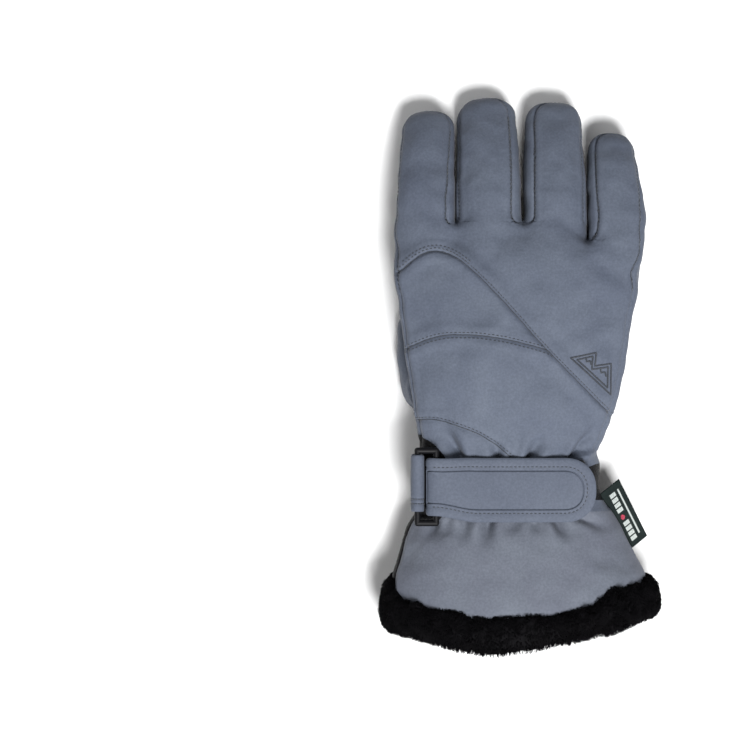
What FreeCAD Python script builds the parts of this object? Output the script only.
"""A ski glove, lying palm down with its thumb tucked under the palm.

X runs across the hand from the thumb to the little finger, Y from the cuff to the fingertips and Z up.
The origin is on the surface under the middle of the glove. Every length is in millimetres.
"""

import FreeCAD
import Part
import math
import os

V = FreeCAD.Vector

# Fabric
SHELL = 1.2  # shell fabric with its backing
LINING = 3.0  # insulation and lining together
LAYER_GAP = 0.1  # between the shell and the lining
SEAM = 0.1  # between two panels of one body
CLEAR = 0.4  # between two bodies at a hinge
WALL = SHELL + LAYER_GAP + LINING

# Fingers: centre, width, place of the knuckle hinge, lengths of the base and the tip
FINGERS = {
    "index": {"x": -46.5, "width": 27.0, "knuckle_y": 84.0, "base": 23.0, "tip": 25.6},
    "middle": {"x": -15.5, "width": 30.0, "knuckle_y": 85.0, "base": 26.0, "tip": 28.9},
    "ring": {"x": 16.9, "width": 29.0, "knuckle_y": 85.0, "base": 24.0, "tip": 28.4},
    "little": {"x": 46.8, "width": 26.4, "knuckle_y": 76.0, "base": 22.0, "tip": 23.3},
}
FINGER_THICK = 24.0
FINGER_ROUND = 8.0
CAP_EXTRA = 2.5  # how much further than the wall the fingertip's cap reaches back
KNUCKLE_Z = 29.0
BASE_SLOPE = 17.0  # degrees down from level
TIP_SLOPE = 30.0
FINGER_CURL = 52.0  # opening of the notch on the palm side of a finger hinge
FINGER_BACK = 12.0  # opening of the notch on its back
CROTCHES = ((-32.1, 73.7), (1.2, 74.6), (33.1, 65.4))  # x and y where two fingers part
CROTCH_WIDTH = 2.6

# Thumb
THUMB_WIDTH = 33.0
THUMB_THICK = 21.6
THUMB_ROUND = 9.0
THUMB_X = -43.0
THUMB_Y = -6.0
THUMB_BASE = 28.0
THUMB_TIP = 37.0
THUMB_BASE_TURN = 3.0  # degrees that the base leans away from the palm
THUMB_TIP_TURN = -30.0  # degrees that the tip leans under the palm
THUMB_NOTCH = 34.0  # opening of the notches at the thumb's own hinge
THUMB_HOLE = 9.5  # radius of the way from the palm into the thumb

# Hand: y, left x, right x, z under the thumb side, z under the little side, top z, corner
PALM_Z = 23.6
HAND_SECTIONS = (
    (-78.0, -52.0, 45.5, 3.0, 3.0, 43.5, 11.0),
    (-60.0, -52.0, 38.5, 4.0, 4.0, 44.0, 11.0),
    (-38.0, -52.0, 38.5, 5.0, 5.0, 44.0, 11.0),
    (-26.0, -52.5, 42.0, PALM_Z, 6.0, 47.5, 11.0),
    (12.0, -57.0, 52.0, PALM_Z, 8.0, 51.0, 11.0),
    (56.0, -59.0, 59.0, PALM_Z, 15.0, 47.0, 11.0),
    (74.0, -60.0, 61.0, KNUCKLE_Z - 11.8, KNUCKLE_Z - 11.8, 42.5, 9.0),
    (88.0, -60.0, 60.0, KNUCKLE_Z - 12.0, KNUCKLE_Z - 12.0, 40.5, 9.0),
)
PALM_STEP_X = -3.0  # the palm is high from the thumb side up to here
THUMB_SIDE_X = -56.0  # inner edge of the thumb-side panel
LITTLE_SIDE_X = 50.0  # inner edge of the little-finger-side panel
SIDE_PANEL_RISE = 9.0  # how far the side panels reach above the side seam
WRIST_Y = -37.0  # edge between the hand's panels and the wrist's
SIDE_SEAM_Z = 27.0  # edge between the back and the palm
PATCH_THICK = 0.9

# Seams across the back, as x and y from the thumb side to the little-finger side
DIAGONAL_SEAM = ((-70.0, 50.8), (-41.2, 61.7), (-19.3, 46.9), (10.8, 13.0), (70.0, -46.0))
ARC_SEAM = ((-70.0, 10.0), (-34.8, 20.1), (-13.4, 18.9), (10.8, 12.7), (12.0, 10.0))

# Strap and ring
BAR_RADIUS = 1.5
STRAP_THICK = 1.4
BAR_GAP = 0.3  # between a bar and the fabric that is folded round it
STRAP_TOP = 44.0  # top of the wrist, where the strap lies
FOLD_RADIUS = BAR_RADIUS + BAR_GAP + STRAP_THICK
BAR_Z = STRAP_TOP + FOLD_RADIUS + 0.2
ANCHOR_X = -50.5
RING_X = -41.5
RING_Y = -53.7  # middle of the ring
RING_LENGTH = 35.0
STRAP_Y = -55.2  # middle of the strap
STRAP_WIDTH = 31.0
STRAP_NECK = 27.0  # width of what passes through the ring
STRAP_END = 36.9
HOOK_LENGTH = 24.0

# Cuff
CUFF_Y = -76.0  # hinge between the wrist and the cuff
CUFF_Z = 23.0
CUFF_FLEX = 19.0  # opening of its notch, above and below
CUFF_SECTIONS = (
    (-74.0, -53.0, 47.5, 3.0, 3.0, 44.5, 12.0),
    (-96.0, -60.5, 58.5, 4.5, 4.5, 50.0, 15.0),
    (-114.0, -62.5, 62.0, 6.5, 6.5, 53.0, 17.0),
    (-133.0, -62.5, 62.0, 6.5, 6.5, 54.0, 18.0),
)
CUFF_SEAM_Z = 25.0
FUR_SECTIONS = (
    (-101.0, -65.0, 63.5, 2.5, 2.5, 54.5, 17.0),
    (-112.0, -69.0, 69.0, -0.6, -0.6, 60.0, 20.0),
    (-126.0, -68.0, 68.0, -0.6, -0.6, 60.0, 20.0),
    (-137.0, -60.0, 60.0, 5.0, 5.0, 55.0, 17.0),
)
FUR_INNER = (
    (-99.0, -61.2, 59.7, 3.9, 3.9, 50.9, 15.0),
    (-114.0, -62.7, 62.2, 6.3, 6.3, 53.2, 17.0),
    (-134.0, -62.7, 62.2, 6.3, 6.3, 54.2, 18.0),
    (-138.0, -56.0, 56.0, 10.5, 10.5, 49.5, 14.0),
)

# Label: corners as x and y, sewn along the first two
LABEL_CORNERS = ((41.2, -59.6), (54.0, -84.4), (63.0, -79.4), (50.2, -52.6))
LABEL_Z = 25.0
LABEL_THICK = 1.0


def section_wire(y, left, right, low_left, low_right, top, corner):
    """A rounded-off box section with a bottom that steps down towards the little finger."""
    points = [
        V(left, y, low_left + corner / 2),
        V(left, y, top - corner),
        V(left + corner * 0.3, y, top - corner * 0.3),
        V(left + corner, y, top),
        V(right - corner, y, top),
        V(right - corner * 0.3, y, top - corner * 0.3),
        V(right, y, top - corner),
        V(right, y, low_right + corner),
        V(right - corner, y, low_right),
        V(PALM_STEP_X, y, low_left),
        V(left + corner / 2, y, low_left),
    ]
    return Part.makePolygon(points + [points[0]])


def tube(sections):
    """A solid through the sections, with flat strips between them."""
    return Part.makeLoft([section_wire(*s) for s in sections], True, True)


def inset(sections, by):
    """The same sections, smaller all round."""
    return tuple(
        (y, left + by, right - by, low_left + by, low_right + by, top - by, corner - by / 2)
        for y, left, right, low_left, low_right, top, corner in sections
    )


def lengthened(sections, by):
    """The same sections, with the first and the last repeated a little further out along Y."""
    way = 1 if sections[-1][0] > sections[0][0] else -1
    first = (sections[0][0] - way * by,) + sections[0][1:]
    last = (sections[-1][0] + way * by,) + sections[-1][1:]
    return (first,) + sections + (last,)


def shell(sections, outside, thick):
    """A tube wall whose outer face lies `outside` inside the sections."""
    outer = tube(inset(sections, outside))
    inner = tube(lengthened(inset(sections, outside + thick), 1.0))
    return outer.cut(inner)


def block(x0, x1, y0, y1, z0, z1):
    return Part.makeBox(x1 - x0, y1 - y0, z1 - z0, V(x0, y0, z0))


def above_line(points, far_y, z0, z1):
    """Everything between a line across the hand and far_y, as a prism."""
    corners = [V(x, y, z0) for x, y in points]
    corners += [V(points[-1][0], far_y, z0), V(points[0][0], far_y, z0)]
    face = Part.Face(Part.makePolygon(corners + [corners[0]]))
    return face.extrude(V(0, 0, z1 - z0))


def notch(curl, back, upright=False):
    """The child's side of a hinge at the origin: what lies past a notch that is open by curl and back."""
    reach = 80.0
    low = reach * math.tan(math.radians(curl / 2))
    high = reach * math.tan(math.radians(back / 2))
    start = CLEAR / 2
    if upright:
        corners = [V(reach, start + low, -reach), V(0, start, -reach), V(-reach, start + high, -reach)]
        corners += [V(-reach, 2 * reach, -reach), V(reach, 2 * reach, -reach)]
        along = V(0, 0, 2 * reach)
    else:
        corners = [V(-reach, start + low, -reach), V(-reach, start, 0), V(-reach, start + high, reach)]
        corners += [V(-reach, 2 * reach, reach), V(-reach, 2 * reach, -reach)]
        along = V(2 * reach, 0, 0)
    return Part.Face(Part.makePolygon(corners + [corners[0]])).extrude(along)


def turned(shape, place, axis, angle):
    """A copy of the shape, turned about the origin and then moved to place."""
    copy = shape.copy()
    copy.rotate(V(0, 0, 0), axis, angle)
    copy.translate(place)
    return copy


def mirrored_y(shape):
    return shape.mirror(V(0, 0, 0), V(0, 1, 0))


def bar(width, thick, rounding, start, end):
    """A bar along Y with rounded long edges."""
    box = block(-width / 2, width / 2, start, end, -thick / 2, thick / 2)
    long_edges = [e for e in box.Edges if abs(e.tangentAt(e.FirstParameter).y) > 0.99]
    return box.makeFillet(rounding, long_edges)


def stall(width, thick, rounding, start, end, closed):
    """A finger-shaped bar from start to end, with a rounded end if closed."""
    shape = bar(width, thick, rounding, start, end)
    if not closed:
        return shape
    wide = width / 2
    tall = thick / 2
    plan = block(-wide, wide, start, end - wide, -tall, tall)
    plan = plan.fuse(Part.makeCylinder(wide, thick, V(0, end - wide, -tall)))
    side = block(-wide, wide, start, end - tall, -tall, tall)
    side = side.fuse(Part.makeCylinder(tall, width, V(-wide, end - tall, 0), V(1, 0, 0)))
    return shape.common(plan).common(side)


def stall_layers(width, thick, rounding, length, closed):
    """The shell and the lining of one segment of a finger, before its ends are cut."""
    start = -thick
    end = length if closed else length + thick
    deep = 0.0 if closed else thick
    lining_at = SHELL + LAYER_GAP
    sizes = (0.0, SHELL, lining_at, WALL)
    solids = []
    for number, by in enumerate(sizes):
        hollow = number % 2 == 1
        far = end - by if closed else end + (deep if hollow else 0.0)
        near = start - (1.0 if hollow else 0.0)
        radius = max(rounding - by, 2.0)
        solids.append(stall(width - 2 * by, thick - 2 * by, radius, near, far, closed))
    return solids[0].cut(solids[1]), solids[2].cut(solids[3])


def finger_segment(width, length, closed):
    """The panels of one finger segment, from its start hinge along Y: back, palm, sides, lining."""
    skin, lining = stall_layers(width, FINGER_THICK, FINGER_ROUND, length, closed)
    far = 4 * FINGER_THICK
    split = FINGER_THICK / 2 - WALL
    cap = length - WALL - CAP_EXTRA if closed else far
    top = block(-far, far, -far, far, split, far)
    if closed:
        top = top.fuse(block(-far, far, cap, far, -far, split))
    bottom = block(-far, far, -far, cap - SEAM, -far, -split - SEAM)
    middle = block(-far, far, -far, cap - SEAM, -split, split - SEAM)
    return {
        "back": skin.common(top),
        "palm": skin.common(bottom),
        "sides": skin.common(middle),
        "lining": lining,
    }


def largest(shape):
    """The main solid, without the slivers that a cut can leave."""
    return max(shape.Solids, key=lambda solid: solid.Volume)


def kept(shape, *keepers):
    for keeper in keepers:
        shape = shape.common(keeper)
    return shape


def finger(name, size):
    """The eight nodes of one finger, and the cutter that opens the hand for its knuckle."""
    axis = V(1, 0, 0)
    knuckle = V(size["x"], size["knuckle_y"], KNUCKLE_Z)
    slope = math.radians(BASE_SLOPE)
    middle = knuckle + V(0, size["base"] * math.cos(slope), -size["base"] * math.sin(slope))
    child = notch(FINGER_CURL, FINGER_BACK)
    parent = mirrored_y(child)
    at_knuckle = -BASE_SLOPE / 2
    at_middle = -(BASE_SLOPE + TIP_SLOPE) / 2
    base_keep = (
        turned(child, knuckle, axis, at_knuckle),
        turned(parent, middle, axis, at_middle),
    )
    tip_keep = (turned(child, middle, axis, at_middle),)
    nodes = {}
    for panel, shape in finger_segment(size["width"], size["base"], False).items():
        placed = turned(shape, knuckle, axis, -BASE_SLOPE)
        nodes[f"{name}_base_{panel}"] = kept(placed, *base_keep)
    for panel, shape in finger_segment(size["width"], size["tip"], True).items():
        placed = turned(shape, middle, axis, -TIP_SLOPE)
        nodes[f"{name}_tip_{panel}"] = kept(placed, *tip_keep)
    hand_side = turned(parent, knuckle, axis, at_knuckle)
    half = size["width"] / 2 + CROTCH_WIDTH / 2 + 0.8
    column = block(size["x"] - half, size["x"] + half, size["knuckle_y"] - 20, 110, 0, 60)
    return nodes, column.cut(hand_side)


def thumb():
    """The six nodes of the thumb. Its two hinges stand upright."""
    axis = V(0, 0, 1)
    root = V(THUMB_X, THUMB_Y, THUMB_THICK / 2)
    turn = math.radians(THUMB_BASE_TURN)
    middle = root + V(-THUMB_BASE * math.sin(turn), THUMB_BASE * math.cos(turn), 0)
    child = notch(THUMB_NOTCH, THUMB_NOTCH, upright=True)
    parent = mirrored_y(child)
    at_middle = (THUMB_BASE_TURN + THUMB_TIP_TURN) / 2
    keep_base = turned(parent, middle, axis, at_middle)
    keep_tip = turned(child, middle, axis, at_middle)
    far = 100.0
    left = block(-far, -SEAM / 2, -far, far, -far, far)
    right = block(SEAM / 2, far, -far, far, -far, far)
    nodes = {}

    outer, lining = thumb_root_layers()
    way_in = Part.makeCylinder(THUMB_HOLE, THUMB_THICK, V(0, 0, 0))
    for name, shape in (
        ("thumb_base_outer", outer.common(left).cut(way_in)),
        ("thumb_base_inner", outer.common(right).cut(way_in)),
        ("thumb_base_lining", lining.cut(way_in)),
    ):
        nodes[name] = turned(shape, root, axis, THUMB_BASE_TURN).common(keep_base)

    outer, lining = stall_layers(THUMB_WIDTH, THUMB_THICK, THUMB_ROUND, THUMB_TIP, True)
    for name, shape in (
        ("thumb_tip_outer", outer.common(left)),
        ("thumb_tip_inner", outer.common(right)),
        ("thumb_tip_lining", lining),
    ):
        nodes[name] = turned(shape, middle, axis, THUMB_TIP_TURN).common(keep_tip)
    return nodes


def thumb_root_layers():
    """The shell and the lining of the thumb's base, which is round about its hinge."""
    solids = []
    for by in (0.0, SHELL, SHELL + LAYER_GAP, WALL):
        radius = THUMB_WIDTH / 2 - by
        tall = THUMB_THICK / 2 - by
        edge = max(THUMB_ROUND - by, 2.0)
        end = 2 * THUMB_BASE + by
        disc = Part.makeCylinder(radius, 2 * tall, V(0, 0, -tall))
        disc = disc.makeFillet(edge, [e for e in disc.Edges if e.Length > 3 * radius])
        run = bar(2 * radius, 2 * tall, edge, 0.0, end)
        solids.append(disc.fuse(run).removeSplitter())
    return solids[0].cut(solids[1]), solids[2].cut(solids[3])


def hand_panels(knuckle_cutters):
    """The panels of the hand and the wrist."""
    skin = shell(HAND_SECTIONS, 0.0, SHELL)
    lining = shell(HAND_SECTIONS, SHELL + LAYER_GAP, LINING)
    band = tube(inset(HAND_SECTIONS[:3], WALL + LAYER_GAP))
    band = band.cut(tube(lengthened(inset(HAND_SECTIONS[:3], WALL + LAYER_GAP + 0.8), 1.0)))
    wrist_end = turned(notch(CUFF_FLEX, CUFF_FLEX), V(0, CUFF_Y, CUFF_Z), V(1, 0, 0), 0)
    slots = [
        block(x - CROTCH_WIDTH / 2, x + CROTCH_WIDTH / 2, y, 110, 0, 60) for x, y in CROTCHES
    ]
    thumb_way = Part.makeCylinder(THUMB_HOLE, 12.0, V(THUMB_X, THUMB_Y, PALM_Z - 3.0))
    cutters = knuckle_cutters + slots + [thumb_way]
    skin = skin.cut(cutters).common(wrist_end)
    lining = lining.cut(cutters).common(wrist_end)

    hand = block(-90, 90, WRIST_Y, 110, -5, 80)
    wrist = block(-90, 90, -110, WRIST_Y - SEAM, -5, 80)
    upper_half = block(-90, 90, -110, 110, SIDE_SEAM_Z, 80)
    lower_half = block(-90, 90, -110, 110, -5, SIDE_SEAM_Z - SEAM)
    strip_top = SIDE_SEAM_Z + SIDE_PANEL_RISE
    left_strip = block(-90, THUMB_SIDE_X, WRIST_Y, 110, -5, strip_top)
    right_strip = block(LITTLE_SIDE_X, 90, WRIST_Y, 110, -5, strip_top)
    strips = left_strip.fuse(right_strip)

    back = skin.common(hand).common(upper_half).cut(strips)
    palm = skin.common(hand).common(lower_half).cut(strips)
    over_diagonal = above_line(DIAGONAL_SEAM, 120, -5, 80)
    under_diagonal = above_line(lower(DIAGONAL_SEAM), -120, -5, 80)
    over_arc = above_line(ARC_SEAM, 120, -5, 80)
    under_arc = under_diagonal.cut(above_line(raised(ARC_SEAM, -SEAM), 120, -5, 80))
    return {
        "back_upper": largest(back.common(over_diagonal)),
        "back_middle": back.common(under_diagonal).common(over_arc),
        "back_lower": back.common(under_arc),
        "thumb_side_panel": skin.common(hand).common(left_strip),
        "little_side_panel": skin.common(hand).common(right_strip),
        "palm_panel": palm,
        "palm_patch": palm_patch(),
        "wrist_back": skin.common(wrist).common(upper_half),
        "wrist_palm": skin.common(wrist).common(lower_half),
        "wrist_elastic": band.common(block(-90, 90, -66, -44, -5, 80)),
        "hand_lining": lining,
    }


def lower(points):
    return raised(points, -SEAM)


def raised(points, by):
    return tuple((x, y + by) for x, y in points)


def palm_patch():
    """A wear patch on the high part of the palm, over the tucked thumb."""
    patch = block(-30.0, -4.0, -20.0, 52.0, PALM_Z - PATCH_THICK, PALM_Z)
    upright = [e for e in patch.Edges if abs(e.tangentAt(e.FirstParameter).z) > 0.99]
    return patch.makeFillet(6.0, upright)


def fold_tube(x, width, middle_y):
    """Fabric folded round a bar of the ring."""
    start = V(x, middle_y - width / 2, BAR_Z)
    outer = Part.makeCylinder(FOLD_RADIUS, width, start, V(0, 1, 0))
    return outer.cut(Part.makeCylinder(BAR_RADIUS + BAR_GAP, width, start, V(0, 1, 0)))


def strap_outline(x0, width, end, z, thick):
    """A strip along X with a round end."""
    radius = width / 2
    strip = block(x0, end - radius, STRAP_Y - radius, STRAP_Y + radius, z, z + thick)
    return strip.fuse(Part.makeCylinder(radius, thick, V(end - radius, STRAP_Y, z))).removeSplitter()


def strap():
    """The ring, its anchor and the two layers of the strap."""
    tab_z = BAR_Z + BAR_RADIUS + BAR_GAP
    hook_z = tab_z - 1.6
    base_z = STRAP_TOP
    loop_z = base_z + STRAP_THICK
    clear_x = RING_X + FOLD_RADIUS + CLEAR

    bars_x = (ANCHOR_X, RING_X)
    ring_parts = [
        Part.makeCylinder(BAR_RADIUS, RING_LENGTH, V(x, RING_Y - RING_LENGTH / 2, BAR_Z), V(0, 1, 0))
        for x in bars_x
    ]
    for y in (RING_Y - RING_LENGTH / 2, RING_Y + RING_LENGTH / 2):
        reach = RING_X - ANCHOR_X
        ring_parts.append(Part.makeCylinder(BAR_RADIUS, reach, V(ANCHOR_X, y, BAR_Z), V(1, 0, 0)))
        ring_parts += [Part.makeSphere(BAR_RADIUS, V(x, y, BAR_Z)) for x in bars_x]
    ring = ring_parts[0].fuse(ring_parts[1:]).removeSplitter()

    leg_x = ANCHOR_X - FOLD_RADIUS
    leg = block(leg_x, leg_x + STRAP_THICK, RING_Y - STRAP_NECK / 2, RING_Y + STRAP_NECK / 2, 22.0, BAR_Z)
    anchor = fold_tube(ANCHOR_X, STRAP_NECK, RING_Y).fuse(leg)
    bore = Part.makeCylinder(
        BAR_RADIUS + BAR_GAP, 60.0, V(ANCHOR_X, RING_Y - 30.0, BAR_Z), V(0, 1, 0)
    )
    anchor = anchor.cut(bore).removeSplitter()

    half_neck = STRAP_NECK / 2
    neck = block(RING_X, RING_X + 6.0, RING_Y - half_neck, RING_Y + half_neck, tab_z, tab_z + STRAP_THICK)
    tab = strap_outline(RING_X + 5.0, STRAP_WIDTH, STRAP_END, tab_z, STRAP_THICK)
    tab = tab.fuse([neck, fold_tube(RING_X, STRAP_NECK, RING_Y)]).removeSplitter()
    base = block(clear_x, 31.0, RING_Y - half_neck, RING_Y + half_neck, base_z, base_z + STRAP_THICK)
    loop = block(clear_x + 4, 31.0, RING_Y - half_neck, RING_Y + half_neck, loop_z, loop_z + 1.4)
    hook = strap_outline(STRAP_END - 2.0 - HOOK_LENGTH, STRAP_WIDTH - 5.0, STRAP_END - 2.5, hook_z, 1.6)
    return {
        "strap_ring": ring,
        "anchor_tab": anchor,
        "strap_base": base,
        "loop_patch": loop,
        "strap_tab": tab,
        "hook_patch": hook,
    }


def cuff():
    """The gauntlet, its lining, the fur round its hem and the label on its side seam."""
    keep = mirrored_y(notch(CUFF_FLEX, CUFF_FLEX))
    keep.translate(V(0, CUFF_Y, CUFF_Z))
    skin = shell(CUFF_SECTIONS, 0.0, SHELL).common(keep)
    lining = shell(CUFF_SECTIONS, SHELL + LAYER_GAP, LINING).common(keep)
    upper = block(-90, 90, -150, -60, CUFF_SEAM_Z, 80)
    lower_part = block(-90, 90, -150, -60, -5, CUFF_SEAM_Z - SEAM)
    above_surface = block(-90, 90, -150, -90, 0, 80)  # the fur is pressed flat where it rests
    fur = tube(FUR_SECTIONS).cut(tube(FUR_INNER)).common(above_surface)
    corners = [V(x, y, LABEL_Z) for x, y in LABEL_CORNERS]
    flap = Part.Face(Part.makePolygon(corners + [corners[0]])).extrude(V(0, 0, LABEL_THICK))
    return {
        "cuff_back": skin.common(upper),
        "cuff_palm": skin.common(lower_part),
        "cuff_lining": lining,
        "fur_trim": fur,
        "label": flap,
    }


def main():
    os.makedirs("parts", exist_ok=True)
    nodes = {}
    knuckle_cutters = []
    for name, size in FINGERS.items():
        panels, cutter = finger(name, size)
        nodes.update(panels)
        knuckle_cutters.append(cutter)
    nodes.update(thumb())
    nodes.update(hand_panels(knuckle_cutters))
    nodes.update(strap())
    nodes.update(cuff())
    for name, shape in nodes.items():
        box = shape.BoundBox
        print(
            f"{name:22s} solids {len(shape.Solids)} valid {shape.isValid()} "
            f"x {box.XMin:7.1f} {box.XMax:7.1f} y {box.YMin:7.1f} {box.YMax:7.1f} "
            f"z {box.ZMin:6.1f} {box.ZMax:6.1f} volume {shape.Volume / 1000:7.2f} cm3"
        )
        shape.exportStep(f"parts/{name}.step")


main()
